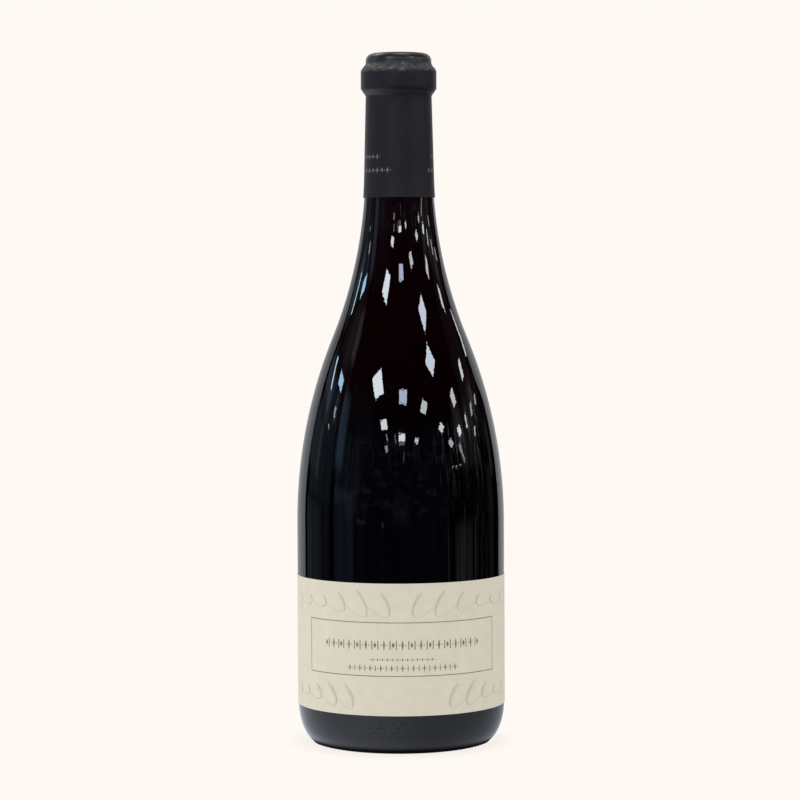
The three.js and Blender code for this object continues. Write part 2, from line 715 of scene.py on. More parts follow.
@dataclass(frozen=True)
class DarkGlass:
    """Polished glass that is near black with the wine behind it."""

    name: str = "dark_glass"
    body: Colour = (0.0002, 0.0002, 0.0006)
    warm: Colour = (0.0037, 0.0003, 0.0009)
    rubbed: Colour = (0.004, 0.004, 0.005)
    warm_from: float = 128.0
    warm_to: float = 158.0
    warm_patches: Span = (0.2, 0.8, 0.7, 1.0)
    smeared: Point = (0.56, 0.78)
    gloss: float = 0.018
    smear: float = 0.05
    worn_roughness: float = 0.22
    ripple: float = 0.035
    shiver: float = 0.010

    def material(self) -> bpy.types.Material:
        """Builds the glass: slow ripples from the mould, faint smears, and wear low on the heel."""
        sheet = MaterialSheet.start(self.name, IOR=1.5, Metallic=0.0)
        grain = sheet.use(EFFECTS.grain(), Fineness=900.0, Patch_size=26.0, Patchiness=1.3)
        heel = {"Lowest": -2.0 * MM, "Highest": 3.5 * MM, "Softness": 2.0 * MM}
        worn = sheet.use(EFFECTS.wear(), **heel, Patch_size=420.0, Amount=0.75).outputs["Mask"]
        patchy = sheet.span(grain.outputs["Mottle"], *self.warm_patches)
        warmed = sheet.span(sheet.height_of(sheet.where), self.warm_from * MM, self.warm_to * MM)
        tone = sheet.mix(sheet.times(warmed, patchy), self.body, self.warm)
        sheet.feed("Base Color", sheet.mix(worn, tone, self.rubbed))
        smears = sheet.noise(sheet.where, 75.0, 5.0, 0.6, stretch=(1.0, 1.0, 0.45))
        film = sheet.span(smears, *self.smeared, self.gloss, self.gloss + self.smear)
        sheet.feed("Roughness", sheet.math("MULTIPLY_ADD", worn, self.worn_roughness, film))
        waves = sheet.noise(sheet.where, 46.0, 1.5, 0.4, stretch=(1.0, 1.0, 0.6))
        rippled = sheet.bump(waves, self.ripple)
        shivers = sheet.noise(sheet.where, 480.0, 2.0, 0.5)
        sheet.feed("Normal", sheet.bump(shivers, self.shiver, under=rippled))
        return sheet.material


@dataclass(frozen=True)
class CapsuleLacquer:
    """Matt charcoal lacquer on thin tin, rubbed lighter where it is folded over the lip."""

    name: str = "capsule_lacquer"
    lacquer: Colour = (0.0055, 0.0036, 0.0108)
    faded: Colour = (0.0080, 0.0056, 0.0138)
    handled: Colour = (0.017, 0.016, 0.017)
    rubbed: Colour = (0.066, 0.063, 0.062)
    bare: Colour = (0.155, 0.150, 0.147)
    fold_low: float = 288.0
    fold_high: float = 291.9
    fold_softness: float = 0.5
    fold_cover: Span = (0.36, 0.62, 0.35, 1.0)
    fold_bareness: float = 0.85
    evenness: Span = (0.3, 0.7, 0.42, 0.52)
    wrinkle_depth: float = 0.55
    dent_depth: float = 0.05
    grain_depth: float = 0.006
    rim_coat: float = 0.45
    rim_smoothing: float = -0.08
    crease: float = 280.35
    # Painted shade: how close to the crease under the collar the lacquer's colour starts to darken, how
    # far out it fades, and how dark it gets right at the crease.
    crease_shade_near: float = 0.1
    crease_shade_far: float = 1.0
    crease_shade_level: float = 0.62

    def material(self) -> bpy.types.Material:
        """Builds the lacquer: fine grain, slow fading, and a handled lip with rubbed folds below it."""
        sheet = MaterialSheet.start(
            self.name,
            IOR=1.48,
            Metallic=0.0,
            Specular_IOR_Level=0.5,
            Coat_Roughness=0.27,
            Sheen_Weight=0.09,
            Sheen_Roughness=0.35,
        )
        grain = sheet.use(EFFECTS.grain(), Fineness=3200.0, Patch_size=120.0, Patchiness=1.1)
        height = sheet.height_of(sheet.where)
        low, high, soft = self.fold_low * MM, self.fold_high * MM, self.fold_softness * MM
        lip = sheet.span(height, low - soft, low + soft)
        below_rim = sheet.span(height, high - 2 * soft, high + soft, 1.0, 0.0)
        fold = sheet.times(lip, below_rim)
        rim = sheet.span(height, high - soft, high + soft)
        reach = {"Lowest": low - 1.5 * soft, "Highest": high, "Softness": 0.9 * MM}
        scuffs = sheet.use(EFFECTS.wear(), **reach, Patch_size=360.0, Amount=0.58).outputs["Mask"]
        base = sheet.mix(grain.outputs["Mottle"], self.lacquer, self.faded)
        base = sheet.mix(lip, base, self.handled)
        uneven = sheet.noise(sheet.where, 170.0, 4.0, 0.6, stretch=(1.0, 1.0, 2.6))
        cover = sheet.times(fold, sheet.span(uneven, *self.fold_cover))
        base = sheet.mix(cover, base, self.rubbed)
        base = sheet.mix(sheet.times(scuffs, self.fold_bareness), base, self.bare)
        # Painted shade: the colour is darkened to about three fifths right at the crease under the
        # collar, fading out within a millimetre of it.
        from_crease = sheet.math("ABSOLUTE", sheet.math("SUBTRACT", height, self.crease * MM))
        near, far = self.crease_shade_near * MM, self.crease_shade_far * MM
        crease_shade = sheet.span(from_crease, near, far, self.crease_shade_level)
        sheet.feed("Base Color", sheet.vector("MULTIPLY", base, crease_shade))
        even = sheet.span(grain.outputs["Grain"], *self.evenness)
        sheet.feed("Roughness", sheet.math("MULTIPLY_ADD", rim, self.rim_smoothing, even))
        sheet.feed("Coat Weight", sheet.times(rim, self.rim_coat))
        dents = sheet.noise(sheet.where, 210.0, 2.0, 0.5)
        dented = sheet.bump(dents, self.dent_depth)
        wrinkles = sheet.noise(sheet.where, 760.0, 3.0, 0.6, stretch=(1.0, 1.0, 1.6))
        wrinkled = sheet.bump(sheet.times(wrinkles, fold), self.wrinkle_depth, under=dented)
        sheet.feed("Normal", sheet.bump(grain.outputs["Grain"], self.grain_depth, under=wrinkled))
        return sheet.material


@dataclass(frozen=True)
class CreamPaper:
    """Uncoated cream label paper with a felt-marked surface."""

    name: str = "cream_paper"
    paper: Colour = (0.785, 0.752, 0.632)
    shade: Colour = (0.722, 0.688, 0.566)
    fleck: Colour = (0.56, 0.50, 0.37)
    flecked: Span = (0.70, 0.80, 0.0, 0.45)
    felt_depth: float = 0.035
    grain_depth: float = 0.012

    def material(self) -> bpy.types.Material:
        """Builds the paper: fibres, felt marks, slow mottling and a few darker flecks."""
        sheet = MaterialSheet.start(self.name, IOR=1.45, Roughness=0.85, Metallic=0.0)
        grain = sheet.use(EFFECTS.grain(), Fineness=1700.0, Patch_size=210.0, Patchiness=1.8)
        tone = sheet.mix(grain.outputs["Mottle"], self.paper, self.shade)
        flecks = sheet.noise(sheet.where, 900.0, 2.0, 0.4, stretch=(1.0, 1.0, 2.2))
        share = sheet.span(flecks, *self.flecked)
        sheet.feed("Base Color", sheet.mix(share, tone, self.fleck))
        felt = sheet.noise(sheet.where, 620.0, 3.0, 0.6, stretch=(0.55, 0.55, 1.6))
        laid = sheet.bump(felt, self.felt_depth, strength=0.8)
        sheet.feed("Normal", sheet.bump(grain.outputs["Grain"], self.grain_depth, 0.7, laid))
        return sheet.material


@dataclass(frozen=True)
class PrintInk:
    """A thin printed ink that lets some of its ground show."""

    name: str
    ink: Colour
    thin: Colour
    roughness: float = 0.75
    grain_depth: float = 0.004

    def material(self) -> bpy.types.Material:
        """Builds the ink: uneven cover over a fine grain."""
        sheet = MaterialSheet.start(self.name, IOR=1.45, Roughness=self.roughness, Metallic=0.0)
        grain = sheet.use(EFFECTS.grain(), Fineness=2600.0, Patch_size=480.0, Patchiness=2.2)
        sheet.feed("Base Color", sheet.mix(grain.outputs["Mottle"], self.ink, self.thin))
        sheet.feed("Normal", sheet.bump(grain.outputs["Grain"], self.grain_depth, strength=0.6))
        return sheet.material


def dress(piece: bpy.types.Object, material: bpy.types.Material) -> bpy.types.Object:
    """Gives a finished piece its material and its body, and reports it.

    Args:
        piece: The finished piece.
        material: Its material.

    Returns:
        The piece.
    """
    piece.data.materials.clear()
    piece.data.materials.append(material)
    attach(piece, BODY)
    triangles = sum(len(face.vertices) - 2 for face in piece.data.polygons)
    size = [round(side / MM, 1) for side in piece.dimensions]
    LOG.info("%s: %d triangles, %s x %s x %s mm", piece.name, triangles, *size)
    return piece


# Sub-assemblies


@dataclass
class GlassBottle:
    """The glass, with its mould seams, the knurls under its heel and the dots on it."""

    form: BottleForm
    facets: int = 192
    seam_height: float = 0.08
    seam_from: float = 75.0
    seam_to: float = 232.0
    seam_catch: float = 0.01
    wall_rows: int = 14
    neck_rows: int = 4
    step_rows: int = 6
    sharp_edge: float = 40.0
    mark_edge: float = 60.0
    knurls: int = 96
    knurl_size: tuple[float, float, float] = (0.42, 0.30, 1.25)
    knurl_height: float = 0.75
    dot_size: float = 0.85
    dot_relief: float = 0.3
    dot_spacing: float = 1.75
    dot_rows: tuple[tuple[float, str], ...] = (
        (13.6, "11010110101"),
        (11.7, "1011010110110101"),
        (9.8, "110101101101011"),
        (7.9, "1011101101"),
    )

    def blow(self) -> bpy.types.Object:
        """Turns the glass from the tip of the punt to the closed top, and raises its two seams."""
        form = self.form
        heel = form.heel()
        shoulder = form.shoulder()
        wall = straight(heel[-1], shoulder[0], self.wall_rows)
        neck_top = (form.neck_radius(form.collar_foot), form.collar_foot)
        neck = straight(shoulder[-1], neck_top, self.neck_rows)
        outline = form.punt() + heel + wall + shoulder + neck + form.finish(0.0, self.step_rows)
        outline.append((0.0, outline[-1][1]))
        glass = turn("glass_bottle", outline, self.facets)
        grow = 1 + self.seam_height / form.body_radius
        low, high = self.seam_from * MM, self.seam_to * MM
        near = self.seam_catch * MM
        select_points(glass, lambda p: abs(p.y) < near and low < p.z < high)
        bpy.ops.transform.resize(value=(grow, grow, 1.0), center_override=(0.0, 0.0, 0.0))
        object_mode()
        shade(glass, self.sharp_edge)
        return glass

    def surface_frame(self, height: float, azimuth: float) -> Matrix:
        """Gives the place on the heel whose local -Y points out of the glass.

        Args:
            height: Height above the base, in millimetres.
            azimuth: Angle from the front, in radians.

        Returns:
            The place, in metres.
        """
        radius = self.form.radius_at(height)
        rise = 0.2
        slope = (self.form.radius_at(height + rise) - self.form.radius_at(height - rise)) / (2 * rise)
        tilt = Matrix.Rotation(math.atan(slope), 4, "X")
        out = Matrix.Translation((0.0, -radius * MM, height * MM))
        return Matrix.Rotation(azimuth, 4, "Z") @ out @ tilt

    def emboss(
        self,
        name: str,
        size: Sequence[float],
        places: Iterable[Matrix],
    ) -> bpy.types.Object:
        """Raises a low rounded button at each place on the glass.

        Args:
            name: Name of the joined buttons.
            size: A button's width, relief and height, in millimetres.
            places: Where each one goes, with its relief along its own -Y.

        Returns:
            The joined buttons.
        """
        object_mode()
        bpy.ops.mesh.primitive_uv_sphere_add(segments=12, ring_count=6, radius=0.5 * MM)
        button = name_active("button")
        edit_all()
        bpy.ops.transform.resize(value=(size[0], 2 * size[1], size[2]))
        object_mode()
        buttons = scatter(name, button, places)
        shade(buttons, self.mark_edge)
        return buttons

    def mould_dots(self) -> bpy.types.Object:
        """Raises the short rows of dots on the front of the heel."""
        places = []
        for height, row in self.dot_rows:
            for i, mark in enumerate(row):
                if mark == "1":
                    shift = (i - (len(row) - 1) / 2) * self.dot_spacing
                    places.append(self.surface_frame(height, shift / self.form.radius_at(height)))
        return self.emboss("heel_dots", (self.dot_size, self.dot_relief, self.dot_size), places)

    def mould_knurls(self) -> bpy.types.Object:
        """Raises the ring of small knurls just above the surface that the bottle stands on."""
        angles = [math.tau * i / self.knurls for i in range(self.knurls)]
        places = [self.surface_frame(self.knurl_height, angle) for angle in angles]
        return self.emboss("base_knurls", self.knurl_size, places)

    def build(self) -> None:
        """Makes the glass and its moulded marks and dresses them."""
        finish = DarkGlass().material()
        glass = dress(self.blow(), finish)
        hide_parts("bottle_glass")
        dress(self.mould_dots(), finish)
        dress(self.mould_knurls(), finish)


@dataclass
class Capsule:
    """The sleeve over the mouth and the neck, folded over the lip, with its printed bands."""

    form: BottleForm
    facets: int = 256
    wall: float = 0.4
    length: float = 61.6
    neck_rows: int = 8
    chamfer_rows: int = 10
    step_rows: int = 12
    least_row: float = 0.2
    fold_low: float = 287.4
    fold_high: float = 292.4
    fold_fade: float = 1.1
    fold_depth: float = 0.7
    fold_size: float = 2.5
    fold_flatness: float = 0.42
    fold_level: float = 0.62
    crease_height: float = 280.35
    crease_depth: float = 0.5
    crease_edge: Point = (0.06, 0.16)
    crown: tuple[Point, ...] = ((9.4, 0.0), (8.9, -0.12), (8.2, -0.12), (7.7, 0.0), (3.0, 0.0))
    sharp_edge: float = 38.0
    bands: tuple[tuple[float, Point], ...] = (
        (251.5, (-8.4, 17.0)),
        (245.7, (-3.7, 13.9)),
    )
    marks: tuple[tuple[Motif, Point], ...] = (
        (Motif.SPINDLE, (1.0, 2.6)),
        (Motif.DOT, (0.5, 0.5)),
        (Motif.LOZENGE, (1.1, 2.0)),
        (Motif.DOT, (0.5, 0.5)),
    )
    mark_spacing: float = 1.25
    band_reach: float = 40.0
    print_relief: float = 0.02
    print_lift: float = 0.015
    print_thickness: float = 0.03

    def outline(self) -> list[Point]:
        """Gives the outside of the sleeve, from its cut edge up to the axis."""
        form = self.form
        grow = form.capsule_cover
        bottom = form.total_height - self.length
        skirt = [(form.radius_at(bottom) + grow, bottom)]
        skirt += [(r + grow, z) for r, z in form.shoulder() if z > bottom + self.least_row]
        neck_top = (form.neck_radius(form.collar_foot) + grow, form.collar_foot)
        neck = straight(skirt[-1], neck_top, self.neck_rows)
        collar = form.collar_radius + grow
        tucked = (collar - self.crease_depth, self.crease_height)
        chamfer = eased_step(neck_top, tucked, self.chamfer_rows)
        edge = (collar - self.crease_edge[0], self.crease_height + self.crease_edge[1])
        lip = [point for point in form.finish(grow, self.step_rows) if point[1] >= form.collar_low]
        top = lip[-1][1]
        crown = [(radius, top + drop) for radius, drop in self.crown]
        return skirt + neck + chamfer + [edge] + lip + crown + [(0.0, top)]

    def draw(self) -> bpy.types.Object:
        """Turns the sleeve, folds it over the lip and gives it its wall."""
        sleeve = turn("foil_capsule", self.outline(), self.facets)
        group = sleeve.vertex_groups.new(name="folds")
        for vertex in sleeve.data.vertices:
            height = vertex.co.z / MM
            inside = min(height - self.fold_low, self.fold_high - height)
            if inside > 0:
                group.add([vertex.index], min(1.0, inside / self.fold_fade), "REPLACE")
        folds = bpy.data.textures.new("folds", "CLOUDS")
        folds.noise_scale = self.fold_size * MM
        folds.noise_depth = 3
        bpy.ops.object.empty_add(location=(0.0, 0.0, 0.0))
        grid = name_active("fold_grid")
        grid.scale = (1.0, 1.0, self.fold_flatness)
        bpy.context.view_layer.update()
        modify(
            sleeve,
            "DISPLACE",
            texture=folds,
            texture_coords="OBJECT",
            texture_coords_object=grid,
            vertex_group=group.name,
            strength=self.fold_depth * MM,
            mid_level=self.fold_level,
        )
        bpy.data.objects.remove(grid, do_unlink=True)
        modify(sleeve, "SOLIDIFY", thickness=self.wall * MM, offset=-1.0, use_rim=True)
        shade(sleeve, self.sharp_edge)
        return sleeve

    def print_band(self, height: float, clear: Point) -> bpy.types.Object:
        """Prints one band: spindles, dots and lozenges in turn, clear in front and at the back.

        Args:
            height: Height of its middle above the base, in millimetres.
            clear: Where its clear stretch starts and ends, in millimetres right of the front.

        Returns:
            The flat band bent round the sleeve.
        """
        sheet = PrintSheet()
        radius = self.form.radius_at(height) + self.form.capsule_cover
        each_side = int(self.band_reach / self.mark_spacing)
        for i in range(-each_side, each_side + 1):
            shift = i * self.mark_spacing
            if not clear[0] < shift < clear[1]:
                motif, size = self.marks[i % len(self.marks)]
                sheet.stamp(motif, size, (shift, height))
        return sheet.wrap("capsule_band", radius + self.print_relief)

    def build(self) -> None:
        """Makes the sleeve and its print and dresses them."""
        sleeve = self.draw()
        bands = join("capsule_print", [self.print_band(height, clear) for height, clear in self.bands])
        modify(
            bands,
            "SHRINKWRAP",
            target=sleeve,
            wrap_method="NEAREST_SURFACEPOINT",
            wrap_mode="OUTSIDE_SURFACE",
            offset=self.print_lift * MM,
        )
        modify(bands, "SOLIDIFY", thickness=self.print_thickness * MM, offset=-1.0)
        dress(sleeve, CapsuleLacquer().material())
        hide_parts("capsule")
        ink = PrintInk("silver_grey_ink", (0.20, 0.19, 0.19), (0.12, 0.115, 0.12), 0.55)
        dress(bands, ink.material())


@dataclass
class PrintSheet:
    """Gathers flat printed shapes, drawn in the XZ plane, and bends them round as one piece."""

    shapes: list[bpy.types.Object] = field(default_factory=list)
    rule_step: float = 0.8
    dot_corners: int = 16
    lozenge_corners: int = 4

    def stamp(self, motif: Motif, size: Point, centre: Point) -> None:
        """Prints one motif, or a rule, which is a long dash or upright in short steps.

        Args:
            motif: Its shape.
            size: Its width and height, in millimetres.
            centre: Its place across and up, in millimetres.
        """
        object_mode()
        if motif in (Motif.DASH, Motif.UPRIGHT):
            across = max(2, round(size[0] / self.rule_step))
            bpy.ops.mesh.primitive_grid_add(
                x_subdivisions=across, y_subdivisions=1, size=MM, rotation=UPRIGHT_TURN
            )
        else:
            corners = self.dot_corners if motif is Motif.DOT else self.lozenge_corners
            bpy.ops.mesh.primitive_circle_add(
                vertices=corners, radius=0.5 * MM, fill_type="NGON", rotation=UPRIGHT_TURN
            )
        shape = bpy.context.active_object
        apply_place(shape)
        edit_all()
        bpy.ops.transform.resize(value=(size[0], 1.0, size[1]))
        bpy.ops.transform.translate(value=(centre[0] * MM, 0.0, centre[1] * MM))
        object_mode()
        self.shapes.append(shape)

    def wrap(self, name: str, radius: float) -> bpy.types.Object:
        """Joins the shapes and bends them round the axis, at a radius in millimetres."""
        printed = join(name, self.shapes)
        bend_round(printed, radius)
        return printed


@dataclass(frozen=True)
class OrnamentRow:
    """One printed row of motifs that repeat to both sides of its middle."""

    height: float
    spacing: float
    pattern: tuple[tuple[Motif, Point], ...]
    repeats: int

    def stamp_on(self, sheet: PrintSheet) -> None:
        """Prints the row.

        Args:
            sheet: The sheet that it is printed on.
        """
        for i in range(-self.repeats, self.repeats + 1):
            motif, size = self.pattern[abs(i) % len(self.pattern)]
            sheet.stamp(motif, size, (i * self.spacing, self.height))


@dataclass(frozen=True)
class Flourish:
    """A looping pen stroke that swells and thins, as in plain penmanship drills."""

    start: float = 3.0
    end: float = 62.0
    middle: float = 64.0
    loops: int = 6
    tallest: float = 6.3
    slant: float = 0.62
    pen: float = 1.15
    least_swing: float = 0.35
    swing_phase: float = 0.2
    loop_width: float = 2.4
    height_share: float = 0.9
    thinnest: float = 0.22
    pen_power: float = 1.5
    loop_steps: int = 28
    flatness: float = 0.05

    def path(self, side: int) -> list[tuple[float, float, float]]:
        """Gives the stroke's points.

        Args:
            side: 1 for the right half, -1 for its mirror image.

        Returns:
            Place across, height and pen width of each point, in millimetres.
        """
        steps = self.loops * self.loop_steps
        points = []
        for i in range(steps + 1):
            share = i / steps
            angle = math.tau * self.loops * share
            swell = math.cos(math.pi * (share - self.swing_phase)) ** 2
            swing = self.tallest * (self.least_swing + (1 - self.least_swing) * swell)
            rise = swing * math.sin(angle)
            along = self.start + (self.end - self.start) * share
            across = along + self.loop_width * math.cos(angle) + self.slant * rise
            press = max(0.0, -math.cos(angle)) ** self.pen_power
            width = self.pen * (self.thinnest + (1 - self.thinnest) * press)
            points.append((side * across, self.middle + rise * self.height_share, width))
        return points

    def draw(self, name: str, side: int) -> bpy.types.Object:
        """Draws the stroke as a flat ribbon in the XZ plane.

        Args:
            name: The piece's name.
            side: 1 for the right half, -1 for its mirror image.

        Returns:
            The ribbon, with a thickness of its own.
        """
        curve = bpy.data.curves.new(name, "CURVE")
        curve.dimensions = "3D"
        curve.bevel_depth = 0.5 * MM
        curve.bevel_resolution = 1
        curve.use_fill_caps = True
        points = self.path(side)
        spline = curve.splines.new("POLY")
        spline.points.add(len(points) - 1)
        for target, (across, height, width) in zip(spline.points, points):
            target.co = (across * MM, 0.0, height * MM, 1.0)
            target.radius = width
        stroke = bpy.data.objects.new(name, curve)
        bpy.context.scene.collection.objects.link(stroke)
        pick(stroke)
        bpy.ops.object.convert(target="MESH")
        edit_all()
        bpy.ops.transform.resize(value=(1.0, self.flatness, 1.0), center_override=(0.0, 0.0, 0.0))
        bpy.ops.mesh.normals_make_consistent(inside=False)
        object_mode()
        return stroke


@dataclass
class FrontLabel:
    """The paper label with its printed frame, ornament rows and pale flourishes."""

    outer_radius: float = 44.67
    thickness: float = 0.12
    bottom: float = 17.3
    height: float = 55.5
    half_angle: float = math.radians(101.25)
    frame_half_width: float = 45.9
    print_shift: float = 0.55
    frame_bottom: float = 34.0
    frame_top: float = 56.4
    frame_line: float = 0.34
    print_relief: float = 0.02
    print_thickness: float = 0.05
    paper_grid: tuple[int, int] = (162, 14)
    sharp_edge: float = 35.0
    rows: tuple[OrnamentRow, ...] = (
        OrnamentRow(
            47.0,
            1.3,
            (
                (Motif.SPINDLE, (1.0, 4.7)),
                (Motif.DOT, (0.55, 0.55)),
                (Motif.UPRIGHT, (0.42, 3.7)),
                (Motif.LOZENGE, (1.25, 2.6)),
                (Motif.UPRIGHT, (0.42, 3.7)),
                (Motif.DOT, (0.55, 0.55)),
            ),
            27,
        ),
        OrnamentRow(40.9, 1.05, ((Motif.LOZENGE, (0.7, 1.3)), (Motif.DASH, (0.7, 0.22))), 13),
        OrnamentRow(
            37.3,
            1.15,
            (
                (Motif.SPINDLE, (0.85, 3.1)),
                (Motif.DASH, (0.75, 0.26)),
                (Motif.UPRIGHT, (0.36, 2.3)),
                (Motif.DASH, (0.75, 0.26)),
            ),
            21,
        ),
    )
    flourishes: tuple[Flourish, ...] = (
        Flourish(),
        Flourish(20.0, 62.0, 25.2, 5, 6.0, 0.62, 1.5),
    )

    def cut_paper(self) -> bpy.types.Object:
        """Cuts the paper flat, bends it round the body and gives it its thickness."""
        object_mode()
        columns, rows = self.paper_grid
        bpy.ops.mesh.primitive_grid_add(
            x_subdivisions=columns, y_subdivisions=rows, size=MM, rotation=UPRIGHT_TURN
        )
        paper = name_active("paper_label")
        length = 2 * self.half_angle * self.outer_radius
        paper.scale = (length, self.height, 1.0)
        paper.location = (0.0, 0.0, (self.bottom + self.height / 2) * MM)
        apply_place(paper)
        bend_round(paper, self.outer_radius)
        modify(paper, "SOLIDIFY", thickness=self.thickness * MM, offset=-1.0, use_rim=True)
        shade(paper, self.sharp_edge)
        return paper

    def print_frame_and_rows(self) -> bpy.types.Object:
        """Prints the rectangular frame and the ornament rows inside it."""
        sheet = PrintSheet()
        width = 2 * self.frame_half_width + self.frame_line
        for height in (self.frame_bottom, self.frame_top):
            sheet.stamp(Motif.DASH, (width, self.frame_line), (0.0, height))
        middle = (self.frame_bottom + self.frame_top) / 2
        upright = self.frame_top - self.frame_bottom - self.frame_line
        for side in (-1, 1):
            place = (side * self.frame_half_width, middle)
            sheet.stamp(Motif.UPRIGHT, (self.frame_line, upright), place)
        for row in self.rows:
            row.stamp_on(sheet)
        printed = sheet.wrap("label_print", self.outer_radius + self.print_relief)
        printed.rotation_euler.z = self.print_shift / self.outer_radius
        apply_place(printed)
        modify(printed, "SOLIDIFY", thickness=self.print_thickness * MM, offset=-1.0)
        return printed

    def print_flourishes(self) -> bpy.types.Object:
        """Prints the pale looping strokes in the label's upper and lower margins."""
        strokes = [flourish.draw("flourish", side) for flourish in self.flourishes for side in (1, -1)]
        printed = join("label_flourish", strokes)
        bend_round(printed, self.outer_radius)
        return printed

    def build(self) -> None:
        """Makes the paper and its print and dresses them."""
        paper = dress(self.cut_paper(), CreamPaper().material())
        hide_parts("front_label")
        olive = PrintInk("olive_brown_ink", (0.16, 0.135, 0.095), (0.30, 0.265, 0.20))
        dress(self.print_frame_and_rows(), olive.material())
        pale = PrintInk("pale_grey_ink", (0.585, 0.548, 0.447), (0.67, 0.635, 0.525))
        dress(self.print_flourishes(), pale.material())


# Studio


@dataclass(frozen=True)
class CeilingPanel:
    """One square light panel in the ceiling, seen only as a highlight."""

    across: float
    along: float
    width: float
    depth: float
    strength: float
    tint: Colour = (0.90, 0.95, 1.0)


@dataclass(frozen=True)
class WallGlow:
    """One soft glow on the walls, seen only in the gloss. Angles are degrees from the front and up."""

    azimuth: float
    half_width: float
    lowest: float
    highest: float
    light: Colour
    softness: float = 4.0


def table(kind: type, *rows: tuple) -> tuple:
    """Makes an object of one kind from each row of its fields."""
    return tuple(kind(*row) for row in rows)


